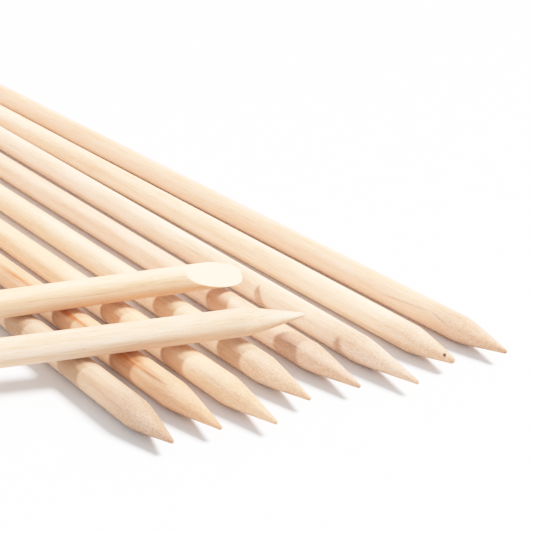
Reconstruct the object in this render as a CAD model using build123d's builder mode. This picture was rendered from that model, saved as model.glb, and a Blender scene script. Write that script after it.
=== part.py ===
"""Set of ten loose wooden cuticle sticks: eight lie in a row, two lean across the row.

Millimetres, +Z up, the table at z = 0. X runs along the row towards the points and Y runs from
the front stick to the rear one. The origin is on the table, under the middle of the set's box.
"""

from build123d import *
from math import asin, cos, degrees, radians, sin, tan
import os

os.makedirs("parts", exist_ok=True)

# One stick: a round shank with a sanded point at one end and a slanted flat at the other.
STICK_LENGTH = 178.0
SHANK_DIAMETER = 4.0
SHANK_RADIUS = SHANK_DIAMETER / 2
SHOULDER_ROUND = 9.0  # where the shank turns into the point
FLAT_ANGLE = 23.0  # between the slanted flat and the stick's axis
FLAT_EDGE = 0.2  # thickness left at the thin end of the flat
RIM_ROUND = 0.08  # worn rim around the flat

# Where the tip of the fourth row stick is, so that the origin is under the middle of the set.
ROW_X = 88.65
ROW_Y = 65.6

# Row sticks from rear to front, as they were laid by hand. Tips are counted from the fourth one.
# tip x, tip y, heading in degrees, length of the point, radius of its blunt end, roll of the flat
ROW_STICKS = [
    (7.6, 21.4, 0.7, 8.0, 0.25, -35.0),
    (4.3, 14.1, 0.4, 7.5, 0.45, 10.0),
    (4.5, 6.5, -0.4, 10.5, 0.25, 65.0),
    (0.0, 0.0, -0.3, 9.5, 0.25, -80.0),
    (-2.3, -6.9, -0.2, 9.0, 0.25, 25.0),
    (-1.4, -13.6, 0.0, 9.5, 0.25, 140.0),
    (-5.1, -19.6, 0.2, 9.5, 0.25, -15.0),
    (-6.9, -25.8, -0.3, 7.5, 0.25, 50.0),
]

# The two sticks on top rest on the crest of the front row stick and, at their outer end, on the
# table. Their inner ends hang a little above the third row stick.
REST_GAP = 0.02
TOP_POINT_LENGTH = 8.5
TOP_POINT_ROUND = 0.25


def row_frame(stick):
    """Frame of a row stick: X out of its point, Z towards the side that its flat faces."""
    tip_x, tip_y, heading, _, _, roll = stick
    place = Pos(ROW_X + tip_x, ROW_Y + tip_y, SHANK_RADIUS) * Rot(Z=heading) * Rot(X=roll)
    return Plane(place)


def distance_to_front_stick(inner_x, inner_y, heading):
    """Distance in plan, back along a top stick, from its inner end to the front row stick."""
    tip_x, tip_y, front_heading, _, _, _ = ROW_STICKS[-1]
    slope = tan(radians(front_heading))
    height = (inner_y - tip_y) - slope * (inner_x - tip_x)
    return height / (sin(radians(heading)) - slope * cos(radians(heading)))


def top_frame(inner_x, inner_y, heading, resting_length, point_inward, roll):
    """Frame of a stick that leans on the front row stick and on the table.

    The inner end is counted from the fourth row stick's tip, heading points from the outer end
    to the inner end, and resting_length is the distance from the inner end to the table contact.
    """
    crest_length = distance_to_front_stick(inner_x, inner_y, heading)
    crest_height = 1.5 * SHANK_DIAMETER + REST_GAP
    table_height = SHANK_RADIUS + REST_GAP
    lean = degrees(asin((crest_height - table_height) / (resting_length - crest_length)))
    inner_height = table_height + resting_length * sin(radians(lean))
    inner_end = Pos(ROW_X + inner_x, ROW_Y + inner_y, inner_height)
    along = inner_end * Rot(Z=heading) * Rot(Y=-lean)
    if point_inward:
        return Plane(along * Rot(X=roll))
    return Plane(along * Pos(X=-STICK_LENGTH) * Rot(Z=180) * Rot(X=roll))


def make_stick(label, frame, point_length, point_round):
    """Model one stick in its frame, write it and return its part."""
    edge_point = frame.from_local_coords((-STICK_LENGTH, 0, FLAT_EDGE - SHANK_RADIUS))
    slope_x = -sin(radians(FLAT_ANGLE))
    slope_z = cos(radians(FLAT_ANGLE))
    flat_normal = frame.x_dir * slope_x + frame.z_dir * slope_z
    with BuildPart() as stick:
        with BuildSketch(frame):
            with BuildLine():
                Polyline(
                    (-STICK_LENGTH, 0),
                    (-STICK_LENGTH, SHANK_RADIUS),
                    (-point_length, SHANK_RADIUS),
                    (0, point_round),
                    (0, 0),
                    close=True,
                )
            outline = make_face()
            corners = outline.vertices().filter_by(lambda corner: corner.Y > point_round / 2)
            fillet(corners.sort_by(Axis.X)[-1], 0.8 * point_round)
            fillet(corners.sort_by(Axis.X)[1], SHOULDER_ROUND)
        revolve(axis=Axis(frame.origin, frame.x_dir))
        split(bisect_by=Plane(edge_point, z_dir=flat_normal), keep=Keep.BOTTOM)
        flat = stick.faces().filter_by(Plane(edge_point, z_dir=flat_normal)).sort_by(SortBy.AREA)[-1]
        fillet(flat.edges(), RIM_ROUND)
    stick.part.label = label
    export_step(stick.part, f"parts/{label}.step")
    return stick.part


row = [
    make_stick(f"row_stick_{place}", row_frame(stick), stick[3], stick[4])
    for place, stick in enumerate(ROW_STICKS, start=1)
]

flat_end_frame = top_frame(
    inner_x=-26.9,
    inner_y=3.1,
    heading=62.3,
    resting_length=STICK_LENGTH - TOP_POINT_LENGTH,
    point_inward=False,
    roll=-40.0,
)
top_stick_flat_end = make_stick(
    "top_stick_flat_end", flat_end_frame, TOP_POINT_LENGTH, TOP_POINT_ROUND
)

point_end_frame = top_frame(
    inner_x=-12.4,
    inner_y=1.4,
    heading=60.4,
    resting_length=STICK_LENGTH,
    point_inward=True,
    roll=15.0,
)
top_stick_point_end = make_stick(
    "top_stick_point_end", point_end_frame, TOP_POINT_LENGTH, TOP_POINT_ROUND
)
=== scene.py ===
"""Ten loose wooden cuticle sticks: eight in a row and two leaning across it, on a white table.

Every stick is a hand-sanded dowel built around the frame of its CAD node: a lathe-like mesh with
a slightly uneven shank, a sanded point and a slanted flat. Metres, as in the CAD frame; lengths
inside the mesh functions are in millimetres of the stick's own frame.
"""
from math import cos, exp, pi, radians, sin, sqrt, tan

import bpy
import numpy as np
from mathutils import Matrix, Vector


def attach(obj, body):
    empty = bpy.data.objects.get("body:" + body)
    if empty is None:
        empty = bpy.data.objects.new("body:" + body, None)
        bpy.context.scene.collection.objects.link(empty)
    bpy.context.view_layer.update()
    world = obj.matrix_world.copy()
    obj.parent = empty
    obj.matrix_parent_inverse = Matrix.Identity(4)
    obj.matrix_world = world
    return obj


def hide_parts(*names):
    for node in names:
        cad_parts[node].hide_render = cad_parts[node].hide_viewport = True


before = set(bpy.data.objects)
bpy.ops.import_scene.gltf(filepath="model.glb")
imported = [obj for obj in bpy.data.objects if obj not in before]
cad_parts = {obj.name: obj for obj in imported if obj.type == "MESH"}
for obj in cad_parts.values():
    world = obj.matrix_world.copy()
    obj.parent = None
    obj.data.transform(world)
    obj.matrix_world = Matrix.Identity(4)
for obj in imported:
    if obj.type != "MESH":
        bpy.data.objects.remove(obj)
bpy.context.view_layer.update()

MM = 0.001
LONG_EDGE = 80.0  # only the side faces of a CAD shank have an edge longer than this, in mm

# The slanted flat: the CAD model's angle and edge, and how softly its thin end is eased off here.
FLAT_ANGLE = radians(23.0)
FLAT_EDGE = 0.2
THIN_END_SOFTNESS = 0.7

# How uneven and rounded a hand-sanded stick is, in millimetres, and how many ridges cross its flat.
SHANK_WAVE = 0.012
GROOVE_DEPTH = 0.006
SANDED_FACETS = 0.035
RIM_AT_THIN_END = 0.10
RIM_AT_HEEL = 0.22
RIDGE_DEPTH = 0.003
RIDGE_COUNT = 40
WEAR_DEPTH = 0.9  # the brown of a worn tip fades to about a third over this depth, in mm

# Mesh density.
SEGMENTS = 72
POINT_STEP = 0.3
SHANK_STEP = 1.3
FLAT_RINGS = 12

# Wood colours. PALE, WARM and DARK are the grain and FRESH is the cut flat. The others multiply
# them, in pores, and where the wood is sanded, worn, stained or marked.
PALE = (0.84, 0.60, 0.42)
WARM = (0.78, 0.51, 0.32)
DARK = (0.64, 0.37, 0.20)
FRESH = (0.84, 0.66, 0.47)
WHITE = (1.0, 1.0, 1.0)
PORE = (0.66, 0.48, 0.36)
SANDED_DARK = (0.63, 0.56, 0.53)
SANDED_PALE = (0.91, 0.92, 0.96)
WORN = (0.62, 0.38, 0.27)
STAIN = (0.72, 0.40, 0.22)
MARK = (0.08, 0.05, 0.03)

# The grain's tone runs from PALE to DARK over these values, and its relief is this high, in metres.
TONE_LOW = 0.78
TONE_HIGH = 1.42
GRAIN_RELIEF = 0.00009


# ---------------------------------------------------------------- reading the CAD sticks


def read_stick(node):
    """A CAD stick's own frame and sizes, in millimetres.

    The long side faces of the shank are square to the axis, so the direction that all their
    normals miss is the axis, and the point that is equally far from all of them lies on it.
    """
    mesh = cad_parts[node].data
    points = np.array([vertex.co for vertex in mesh.vertices]) / MM
    corners = points[np.array([face.vertices[:] for face in mesh.polygons])]
    edges = corners - np.roll(corners, 1, axis=1)
    sides = corners[np.linalg.norm(edges, axis=2).max(axis=1) > LONG_EDGE]
    normals = np.cross(sides[:, 1] - sides[:, 0], sides[:, 2] - sides[:, 0])
    normals /= np.linalg.norm(normals, axis=1)[:, None]
    axis = np.linalg.svd(normals)[2][-1]
    offsets = (normals * sides[:, 0]).sum(axis=1)
    solution = np.linalg.lstsq(np.c_[normals, np.ones(len(normals))], offsets, rcond=None)[0]
    centre = solution[:3]

    heights = (points - centre) @ axis
    radial = points - centre - np.outer(heights, axis)
    spread = np.linalg.norm(radial, axis=1)
    if spread[heights > heights.max() - 0.05].max() > spread.max() / 2:
        axis = -axis
        heights = -heights
    thin_end = radial[heights < heights.min() + 0.05].mean(axis=0)
    flat_side = -thin_end / np.linalg.norm(thin_end)
    tip = centre + axis * heights.max()
    shank_top = ((sides.reshape(-1, 3) - tip) @ axis).max()
    return {
        "tip": tip,
        "axis": axis,
        "flat_side": flat_side,
        "length": heights.max() - heights.min(),
        "radius": spread.max(),
        "shoulder": -shank_top,
    }


def stick_matrix(stick):
    """Matrix from the stick's own frame to the CAD frame: X out of the point, Z the flat's side."""
    x = Vector(stick["axis"])
    z = Vector(stick["flat_side"])
    y = z.cross(x).normalized()
    z = x.cross(y)
    turn = Matrix((x, y, z)).transposed().to_4x4()
    return Matrix.Translation(Vector(stick["tip"]) * MM) @ turn


# ---------------------------------------------------------------- stick meshes


def smooth_step(low, high, value):
    """0 below low, 1 above high, and a smooth rise between them."""
    t = np.clip((value - low) / (high - low), 0.0, 1.0)
    return t * t * (3 - 2 * t)


def ripple(rng, count, highest):
    """A random smooth periodic function of an angle and a depth: a sum of a few waves."""
    waves = [
        (rng.integers(1, highest + 1), rng.uniform(0, 2 * pi), rng.uniform(-0.5, 0.5), rng.normal())
        for _ in range(count)
    ]

    def value(angle, depth):
        total = 0.0
        for turns, phase, twist, weight in waves:
            total = total + weight * np.cos(turns * angle + phase + twist * depth)
        return total / sqrt(count)

    return value


def profile_radius(depth, radius, shoulder, blunt):
    """Radius at a depth below the tip: a blunt end, a slightly full cone, then the shank."""
    t = np.clip(depth / shoulder, 0.0, 1.0)
    cone = blunt + (radius - blunt) * (1.10 * t - 0.10 * t ** 4)
    cone = np.minimum(cone, radius)
    dome = np.sqrt(np.clip(1 - (1 - np.clip(depth / (0.8 * blunt), 0, 1)) ** 2, 0, 1))
    return cone * (0.15 + 0.85 * dome)


def stick_object(node, seed, blunt, streaks):
    """Builds one stick in place of its CAD node and returns the object.

    blunt is the radius of the tip's end, and streaks are the stained patches, each as (depth
    below the tip, half length, angle, half width in radians).
    """
    rng = np.random.default_rng(seed)
    stick = read_stick(node)
    length = stick["length"]
    radius = stick["radius"]
    shoulder = stick["shoulder"]
    shank_wave = ripple(rng, 5, 3)
    sand_wave = ripple(rng, 7, 5)
    groove = rng.normal(0, GROOVE_DEPTH, SEGMENTS)
    angles = np.arange(SEGMENTS) * 2 * pi / SEGMENTS

    # Where the shank ends under each angle: on the slanted plane, eased off at the thin end.
    rim_z = radius * np.cos(angles)
    plane_x = -length + (rim_z - FLAT_EDGE + radius) / tan(FLAT_ANGLE)
    gap = plane_x + length
    end_x = -length + 0.5 * (gap + np.sqrt(gap ** 2 + THIN_END_SOFTNESS ** 2))
    heel = smooth_step(-0.5, 1.0, np.cos(angles))
    turn_in = RIM_AT_THIN_END + (RIM_AT_HEEL - RIM_AT_THIN_END) * heel

    rings = []
    sanded = []
    on_face = []

    def keep(ring, sanded_share, face_share):
        """Adds a ring with its share of sanding and of the fresh flat face."""
        rings.append(ring)
        sanded.append(sanded_share)
        on_face.append(np.full(SEGMENTS, face_share))

    def shank_ring(depths):
        """A ring of the shank or the point, with its own depth under each angle."""
        base = profile_radius(depths, radius, shoulder, blunt)
        cone_share = 1 - smooth_step(0.75 * shoulder, 1.1 * shoulder, depths)
        fade = np.clip(depths / 1.5, 0, 1)
        wobble = SHANK_WAVE * shank_wave(angles, depths * 0.06) + groove
        facets = SANDED_FACETS * sand_wave(angles, depths * 0.35)
        r = base + fade * ((1 - cone_share) * wobble + cone_share * facets)
        y = r * -np.sin(angles)
        z = r * np.cos(angles)
        sanding = 1 - smooth_step(shoulder, 2.0 * shoulder, depths)
        return np.stack([-depths, y, z], axis=1), sanding

    tip_depths = [0.0, 0.02, 0.06, 0.13, 0.22, 0.34, 0.5, 0.7]
    cone_end = shoulder + 2.0
    cone_count = int((cone_end - 1.0) / POINT_STEP)
    depths = tip_depths + list(np.linspace(1.0, cone_end, cone_count))
    for depth in depths:
        ring, share = shank_ring(np.full(SEGMENTS, depth))
        keep(ring, share, 0.0)

    # Along the shank the rings slant step by step until the last one lies along the flat's rim.
    last = -end_x - turn_in
    shank_count = int((length - cone_end) / SHANK_STEP)
    for share_along in np.linspace(0, 1, shank_count)[1:]:
        ring, share = shank_ring(cone_end + (last - cone_end) * share_along)
        keep(ring, share, 0.0)

    # The rim: a small round from the shank over the sharp corner on to the flat.
    sharp, _ = shank_ring(-end_x)
    middle_z = 0.5 * FLAT_EDGE
    middle = np.array([-length + (middle_z - FLAT_EDGE + radius) / tan(FLAT_ANGLE), 0.0, middle_z])
    lift = (end_x - plane_x)[:, None] * np.array([1.0, 0, 0])
    flat_rim = sharp - lift
    inset = turn_in / np.linalg.norm(flat_rim - middle, axis=1)

    def flat_ring(scale):
        """A ring on the flat, shrunk towards its middle."""
        scale = np.asarray(scale)[:, None]
        return middle + (flat_rim - middle) * scale + lift * scale ** 6

    on_shank = rings[-1]
    on_flat = flat_ring(1 - inset)
    for t in (0.2, 0.4, 0.6, 0.8):
        rim = (1 - t) ** 2 * on_shank + 2 * t * (1 - t) * sharp + t ** 2 * on_flat
        keep(rim, np.full(SEGMENTS, t), t)
    sand_ridge = rng.normal(0, RIDGE_DEPTH, RIDGE_COUNT)
    for scale in np.linspace(1, 0.06, FLAT_RINGS):
        ring = flat_ring((1 - inset) * scale)
        ridge = np.interp(ring[:, 0] + length, np.linspace(0, 10, RIDGE_COUNT), sand_ridge)
        ring[:, 2] += ridge * smooth_step(1.0, 0.85, np.full(SEGMENTS, scale))
        keep(ring, np.ones(SEGMENTS), 1.0)

    # Vertices: all rings, then the two poles.
    tip_pole = np.zeros((1, 3))
    vertices = np.concatenate(rings + [tip_pole, middle[None, :]])
    count = len(rings)
    faces = []
    for i in range(count - 1):
        for j in range(SEGMENTS):
            k = (j + 1) % SEGMENTS
            a, b = i * SEGMENTS, (i + 1) * SEGMENTS
            faces.append((a + j, b + j, b + k, a + k))
    tip_index = count * SEGMENTS
    last_ring = (count - 1) * SEGMENTS
    for j in range(SEGMENTS):
        k = (j + 1) % SEGMENTS
        faces.append((tip_index, j, k))
        faces.append((tip_index + 1, last_ring + k, last_ring + j))

    mesh = bpy.data.meshes.new(node + "_wood")
    mesh.from_pydata((vertices * MM).tolist(), [], faces)
    mesh.update()
    mesh.shade_smooth()
    sanded = np.concatenate(sanded + [[1.0, 1.0]])
    on_face = np.concatenate(on_face + [[0.0, 1.0]])
    add_attributes(mesh, vertices, sanded, on_face, seed, streaks)
    piece = bpy.data.objects.new(node + "_wood", mesh)
    bpy.context.scene.collection.objects.link(piece)
    piece.matrix_world = stick_matrix(stick)
    return piece


def add_attributes(mesh, vertices, sanded, on_face, seed, streaks):
    """Per-vertex fields for the wood shader.

    stick_place is the stick's own coordinates in millimetres. wood_place is the same, moved and
    turned at random so that no two sticks are cut from the same piece of wood.
    """
    rng = np.random.default_rng(seed + 500)
    turn = rng.uniform(0, 2 * pi)
    y = vertices[:, 1] * cos(turn) - vertices[:, 2] * sin(turn)
    z = vertices[:, 1] * sin(turn) + vertices[:, 2] * cos(turn)
    slope = rng.uniform(-0.012, 0.012, 2)
    x = vertices[:, 0]
    place = np.stack(
        [
            x + rng.uniform(-400, 400),
            y + rng.uniform(14, 30) + slope[0] * x,
            z + rng.uniform(-6, 6) + slope[1] * x,
        ],
        axis=1,
    )
    depth = -vertices[:, 0]
    angle = np.arctan2(-vertices[:, 1], vertices[:, 2])
    stain = np.zeros(len(vertices))
    for centre, half_length, middle, half_width in streaks:
        along = 1 - smooth_step(0.6, 1.0, np.abs(depth - centre) / half_length)
        apart = np.abs((angle - middle + pi) % (2 * pi) - pi)
        around = 1 - smooth_step(0.2, 1.0, apart / half_width)
        stain = np.maximum(stain, along * around)
    fields = {
        "sanded": sanded,
        "fresh_face": on_face,
        "tip_wear": np.exp(-depth / WEAR_DEPTH),
        "stain": stain,
    }
    for name, values in (("wood_place", place), ("stick_place", vertices)):
        attribute = mesh.attributes.new(name, "FLOAT_VECTOR", "POINT")
        attribute.data.foreach_set("vector", values.astype(np.float32).ravel())
    for name, values in fields.items():
        attribute = mesh.attributes.new(name, "FLOAT", "POINT")
        attribute.data.foreach_set("value", np.asarray(values, np.float32))


# ---------------------------------------------------------------- materials


def node_tools(material):
    """Short helpers to add nodes to a material and link them."""
    tree = material.node_tree

    def add(kind, **settings):
        node = tree.nodes.new(kind)
        for key, value in settings.items():
            setattr(node, key, value)
        return node

    def link(source, target):
        tree.links.new(source, target)

    return add, link


def wood_material(name, tint, wear, grime, marks):
    """Unfinished fine-grained wood: bands, fibres, pores, sanded ends, a worn tip and marks.

    wear is how brown the tip is and grime how grey the sanded ends are, both from 0 to 1.
    marks are small dark flecks and lines, each an ellipsoid in the stick's own millimetres:
    (centre, half sizes, turn about Y, strength).
    """
    material = bpy.data.materials.new(name)
    material.use_nodes = True
    add, link = node_tools(material)
    shader = material.node_tree.nodes["Principled BSDF"]

    place = add("ShaderNodeAttribute", attribute_name="wood_place")
    own_place = add("ShaderNodeAttribute", attribute_name="stick_place")
    sanded = add("ShaderNodeAttribute", attribute_name="sanded").outputs["Fac"]
    face = add("ShaderNodeAttribute", attribute_name="fresh_face").outputs["Fac"]
    worn = add("ShaderNodeAttribute", attribute_name="tip_wear").outputs["Fac"]
    stain = add("ShaderNodeAttribute", attribute_name="stain").outputs["Fac"]

    def stretched_noise(scale, detail, roughness=0.5):
        mapping = add("ShaderNodeMapping")
        mapping.inputs["Scale"].default_value = scale
        link(place.outputs["Vector"], mapping.inputs["Vector"])
        noise = add("ShaderNodeTexNoise")
        noise.inputs["Scale"].default_value = 1.0
        noise.inputs["Detail"].default_value = detail
        noise.inputs["Roughness"].default_value = roughness
        link(mapping.outputs["Vector"], noise.inputs["Vector"])
        return noise.outputs["Fac"]

    def ramp(source, stops):
        node = add("ShaderNodeValToRGB")
        elements = node.color_ramp.elements
        while len(elements) < len(stops):
            elements.new(0.5)
        for element, (position, colour) in zip(elements, stops):
            element.position = position
            element.color = (*colour, 1.0)
        link(source, node.inputs["Fac"])
        return node.outputs["Color"]

    def levels(source, low, high, out_low=0.0, out_high=1.0):
        node = add("ShaderNodeMapRange")
        node.inputs["From Min"].default_value = low
        node.inputs["From Max"].default_value = high
        node.inputs["To Min"].default_value = out_low
        node.inputs["To Max"].default_value = out_high
        link(source, node.inputs["Value"])
        return node.outputs["Result"]

    def math(operation, first, second):
        node = add("ShaderNodeMath", operation=operation)
        for slot, value in zip(node.inputs, (first, second)):
            if isinstance(value, (int, float)):
                slot.default_value = value
            else:
                link(value, slot)
        return node.outputs["Value"]

    def mix(kind, amount, first, second):
        node = add("ShaderNodeMix", data_type="RGBA", blend_type=kind)
        for slot, value in ((0, amount), (6, first), (7, second)):
            if isinstance(value, (int, float)):
                node.inputs[slot].default_value = value
            elif isinstance(value, tuple):
                node.inputs[slot].default_value = (*value, 1.0)
            else:
                link(value, node.inputs[slot])
        return node.outputs[2]

    # Growth bands: rings around a pith well outside the stick.
    warp = stretched_noise((0.02, 0.25, 0.25), 2.0)
    bands = add("ShaderNodeTexWave", wave_type="RINGS", rings_direction="X")
    bands.inputs["Scale"].default_value = 0.16
    bands.inputs["Distortion"].default_value = 2.2
    bands.inputs["Detail"].default_value = 2.0
    bands.inputs["Detail Scale"].default_value = 0.35
    stretch = add("ShaderNodeMapping")
    stretch.inputs["Scale"].default_value = (0.03, 1.0, 1.0)
    link(place.outputs["Vector"], stretch.inputs["Vector"])
    link(stretch.outputs["Vector"], bands.inputs["Vector"])

    fibres = stretched_noise((0.16, 3.4, 3.4), 4.0, 0.65)
    threads = stretched_noise((0.45, 9.0, 9.0), 2.0, 0.6)
    broad = stretched_noise((0.05, 0.45, 0.45), 3.0)
    blush = stretched_noise((0.09, 0.5, 0.5), 2.0)
    pores = stretched_noise((0.7, 10.0, 10.0), 2.0, 0.55)
    grit = stretched_noise((3.0, 5.0, 5.0), 4.0, 0.7)

    tone = math("MULTIPLY", bands.outputs["Fac"], 0.20)
    tone = math("ADD", tone, math("MULTIPLY", warp, 0.20))
    tone = math("ADD", tone, math("MULTIPLY", broad, 0.60))
    tone = math("ADD", tone, math("MULTIPLY", fibres, 0.75))
    tone = math("ADD", tone, math("MULTIPLY", threads, 0.45))
    colour = ramp(levels(tone, TONE_LOW, TONE_HIGH), [(0.0, PALE), (0.5, WARM), (1.0, DARK)])
    colour = mix("MULTIPLY", 1.0, colour, ramp(blush, [(0.38, (1.0, 0.95, 0.92)), (0.62, WHITE)]))
    colour = mix("MULTIPLY", levels(pores, 0.60, 0.72, 0.0, 0.55), colour, PORE)

    # Sanded ends: pinker and greyer, with a fine end-grain speckle.
    speckled = ramp(grit, [(0.36, SANDED_DARK), (0.64, SANDED_PALE)])
    colour = mix("MULTIPLY", levels(sanded, 0.0, 1.0, 0.0, grime), colour, speckled)
    colour = mix("MIX", levels(face, 0.2, 1.0, 0.0, 0.75), colour, FRESH)
    colour = mix("MULTIPLY", 1.0, colour, tint)
    colour = mix("MULTIPLY", levels(worn, 0.0, 1.0, 0.0, wear), colour, WORN)
    stained = math("MULTIPLY", stain, levels(fibres, 0.30, 0.55, 0.45, 1.0))
    colour = mix("MULTIPLY", stained, colour, STAIN)

    for centre, sizes, turn, strength in marks:
        inside = add("ShaderNodeMapping", vector_type="TEXTURE")
        inside.inputs["Location"].default_value = centre
        inside.inputs["Rotation"].default_value = (0.0, turn, 0.0)
        inside.inputs["Scale"].default_value = sizes
        link(own_place.outputs["Vector"], inside.inputs["Vector"])
        distance = add("ShaderNodeVectorMath", operation="LENGTH")
        link(inside.outputs["Vector"], distance.inputs[0])
        uneven = math("ADD", distance.outputs["Value"], levels(pores, 0.3, 0.7, -0.2, 0.2))
        colour = mix("MULTIPLY", levels(uneven, 1.0, 0.5, 0.0, strength), colour, MARK)
    link(colour, shader.inputs["Base Color"])

    rough = levels(fibres, 0.3, 0.7, 0.52, 0.70)
    link(rough, shader.inputs["Roughness"])
    shader.inputs["Specular IOR Level"].default_value = 0.3

    height = math("ADD", math("MULTIPLY", fibres, 0.8), math("MULTIPLY", pores, -0.5))
    height = math("ADD", height, math("MULTIPLY", threads, 0.5))
    height = math("ADD", height, math("MULTIPLY", math("MULTIPLY", grit, sanded), 1.3))
    bump = add("ShaderNodeBump")
    bump.inputs["Strength"].default_value = 0.6
    bump.inputs["Distance"].default_value = GRAIN_RELIEF
    link(height, bump.inputs["Height"])
    link(bump.outputs["Normal"], shader.inputs["Normal"])
    return material


def table_material():
    """Plain matt white card with a barely visible tooth."""
    material = bpy.data.materials.new("white_table")
    material.use_nodes = True
    add, link = node_tools(material)
    shader = material.node_tree.nodes["Principled BSDF"]
    shader.inputs["Roughness"].default_value = 0.7
    noise = add("ShaderNodeTexNoise")
    noise.inputs["Scale"].default_value = 900.0
    ramp = add("ShaderNodeValToRGB")
    for element, tone in zip(ramp.color_ramp.elements, TABLE_TONES):
        element.color = (*tone, 1.0)
    link(noise.outputs["Fac"], ramp.inputs["Fac"])
    link(ramp.outputs["Color"], shader.inputs["Base Color"])
    return material


# ---------------------------------------------------------------- the sticks

# What a stick has unless its own entry says otherwise.
USUAL = dict(blunt=0.25, wear=0.35, grime=0.9, marks=(), streaks=())

STICKS = {
    "row_stick_1": dict(
        seed=11,
        tint=(0.88, 0.80, 0.80),
        wear=0.8,
        marks=[
            ((-17.0, -1.99, -0.14), (6.0, 0.45, 0.17), -0.11, 0.30),
            ((-11.1, -1.98, 0.06), (2.1, 0.45, 0.16), 0.19, 0.30),
        ],
    ),
    "row_stick_2": dict(
        seed=12,
        blunt=0.42,
        tint=(0.97, 0.94, 0.96),
        marks=[((-1.45, -0.34, 0.65), (0.33, 0.33, 0.33), 0.0, 1.0)],
    ),
    "row_stick_3": dict(seed=13, tint=(0.91, 0.90, 0.96)),
    "row_stick_4": dict(
        seed=14,
        tint=(0.84, 0.77, 0.79),
        marks=[((-12.4, -1.53, -1.29), (2.6, 0.35, 0.16), -0.05, 0.28)],
    ),
    "row_stick_5": dict(seed=15, tint=(0.91, 0.88, 0.88)),
    "row_stick_6": dict(
        seed=16,
        tint=(0.91, 0.82, 0.76),
        grime=0.75,
        marks=[((-11.5, 1.99, -0.2), (3.6, 0.4, 0.3), -0.03, 0.20)],
    ),
    "row_stick_7": dict(
        seed=17,
        tint=(0.77, 0.64, 0.57),
        grime=0.5,
        streaks=[(32.0, 25.0, radians(42.0), 0.34), (18.2, 3.4, radians(45.0), 0.75)],
        marks=[((-12.4, -1.44, 1.39), (3.6, 0.28, 0.24), -0.055, 0.42)],
    ),
    "row_stick_8": dict(seed=18, tint=(0.64, 0.60, 0.60)),
    "top_stick_flat_end": dict(
        seed=19,
        tint=(0.94, 0.90, 0.88),
        grime=0.5,
        marks=[
            ((-157.0, 1.10, 1.67), (5.0, 0.16, 0.3), 0.0, 0.16),
            ((-151.5, 0.95, 1.76), (3.4, 0.14, 0.3), 0.0, 0.14),
        ],
    ),
    "top_stick_point_end": dict(
        seed=20,
        tint=(0.86, 0.88, 0.94),
        wear=0.1,
        grime=0.0,
        marks=[
            ((-24.0, -1.83, 0.80), (6.5, 0.4, 0.12), 0.015, 0.18),
            ((-31.0, -1.88, 0.66), (4.0, 0.4, 0.10), -0.01, 0.15),
        ],
    ),
}

wood = bpy.data.collections.new("wood")
for node, own_look in STICKS.items():
    look = USUAL | own_look
    piece = stick_object(node, look["seed"], look["blunt"], look["streaks"])
    material = wood_material(
        node + "_grain", look["tint"], look["wear"], look["grime"], look["marks"]
    )
    piece.data.materials.append(material)
    wood.objects.link(piece)
    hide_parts(node)
    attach(piece, node)


# ---------------------------------------------------------------- table, light and camera


TABLE_REACH = 3.0
TABLE_TONES = ((0.77, 0.77, 0.775), (0.80, 0.80, 0.80))
ROOM_LIGHT = 1.25


def add_table():
    """A large white table top, level with the CAD floor."""
    mesh = bpy.data.meshes.new("table")
    corners = [
        (-TABLE_REACH, -TABLE_REACH, 0),
        (TABLE_REACH, -TABLE_REACH, 0),
        (TABLE_REACH, TABLE_REACH, 0),
        (-TABLE_REACH, TABLE_REACH, 0),
    ]
    mesh.from_pydata(corners, [], [(0, 1, 2, 3)])
    table = bpy.data.objects.new("table", mesh)
    bpy.context.scene.collection.objects.link(table)
    table.data.materials.append(table_material())


LAMP_TARGET = Vector((0.05, 0.06, 0.0))
LAMP_DISTANCE = 1.2


def shining(azimuth, drop):
    """Unit vector of light that travels towards an azimuth while it drops by an angle."""
    return Vector((cos(drop) * cos(azimuth), cos(drop) * sin(azimuth), -sin(drop)))


def add_lamp(name, strength, direction, angle):
    """A sun lamp that shines along a direction; a wider angle makes softer shadows."""
    lamp = bpy.data.lights.new(name, "SUN")
    lamp.energy = strength
    lamp.angle = angle
    light = bpy.data.objects.new(name, lamp)
    bpy.context.scene.collection.objects.link(light)
    turn = direction.to_track_quat("-Z", "Y").to_matrix().to_4x4()
    light.matrix_world = Matrix.Translation(LAMP_TARGET - direction * LAMP_DISTANCE) @ turn
    return light


add_table()

# One lamp from the left lights the flanks that face the camera, on the wood alone, and one from
# the right lights the crests and throws the points' shadows on the table.
left = add_lamp("left_lamp", 4.8, shining(radians(46.0), radians(37.5)), radians(5.0))
left.light_linking.receiver_collection = wood
add_lamp("right_lamp", 10.5, shining(radians(-124.0), radians(48.0)), radians(18.0))

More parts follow.
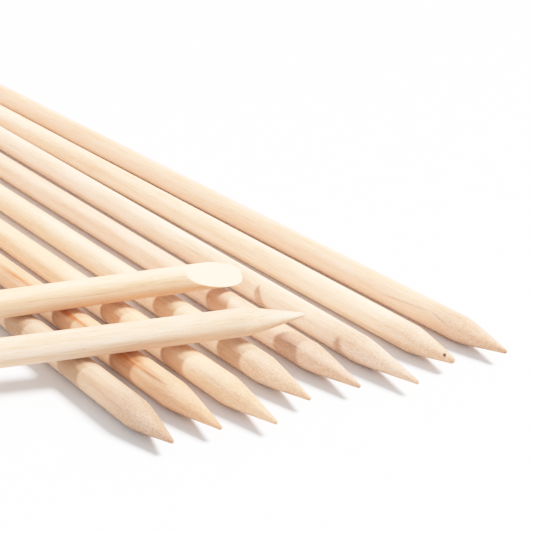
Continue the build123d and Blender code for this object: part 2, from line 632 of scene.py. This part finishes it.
world = bpy.data.worlds.new("studio")
world.use_nodes = True
world.node_tree.nodes["Background"].inputs["Color"].default_value = (1.0, 1.0, 1.0, 1.0)
world.node_tree.nodes["Background"].inputs["Strength"].default_value = ROOM_LIGHT
bpy.context.scene.world = world

# The camera stands in front to the right and looks down across the points.
CAMERA_TURN = radians(137.65)
CAMERA_DROP = radians(29.13)
CAMERA_ROLL = radians(0.92)
CAMERA_DISTANCE = 0.1775
FOCAL_LENGTH = 74.3
SENSOR = 36.0
TARGET_FROM_TIP = Vector((-0.0350, 0.0148, -0.0020))


def add_camera():
    """Sets the camera from the tip of the fourth row stick."""
    tip = Vector(read_stick("row_stick_4")["tip"]) * MM
    target = tip + TARGET_FROM_TIP
    forward = Vector(
        (
            cos(CAMERA_DROP) * cos(CAMERA_TURN),
            cos(CAMERA_DROP) * sin(CAMERA_TURN),
            -sin(CAMERA_DROP),
        )
    )
    level = forward.cross(Vector((0, 0, 1))).normalized()
    upright = level.cross(forward)
    right = level * cos(CAMERA_ROLL) + upright * sin(CAMERA_ROLL)
    up = upright * cos(CAMERA_ROLL) - level * sin(CAMERA_ROLL)
    camera_data = bpy.data.cameras.new("camera")
    camera_data.lens = FOCAL_LENGTH
    camera_data.sensor_width = SENSOR
    camera_data.clip_start = 0.01
    camera = bpy.data.objects.new("camera", camera_data)
    bpy.context.scene.collection.objects.link(camera)
    turn = Matrix((right, up, -forward)).transposed().to_4x4()
    camera.matrix_world = Matrix.Translation(target - forward * CAMERA_DISTANCE) @ turn
    bpy.context.scene.camera = camera


add_camera()


# A film-like response: strong light runs smoothly into white instead of clipping.
WHITE_LEVEL = 3.0
CURVE_LIGHT = (0.2, 0.4, 0.7, 1.0, 1.4, 1.9, 2.4)

view = bpy.context.scene.view_settings
view.view_transform = "Standard"
view.use_curve_mapping = True
response = view.curve_mapping
response.white_level = (WHITE_LEVEL, WHITE_LEVEL, WHITE_LEVEL)
for light in CURVE_LIGHT:
    shown = (1 - exp(-light)) / (1 - exp(-WHITE_LEVEL))
    response.curves[3].points.new(light / WHITE_LEVEL, shown)
response.update()
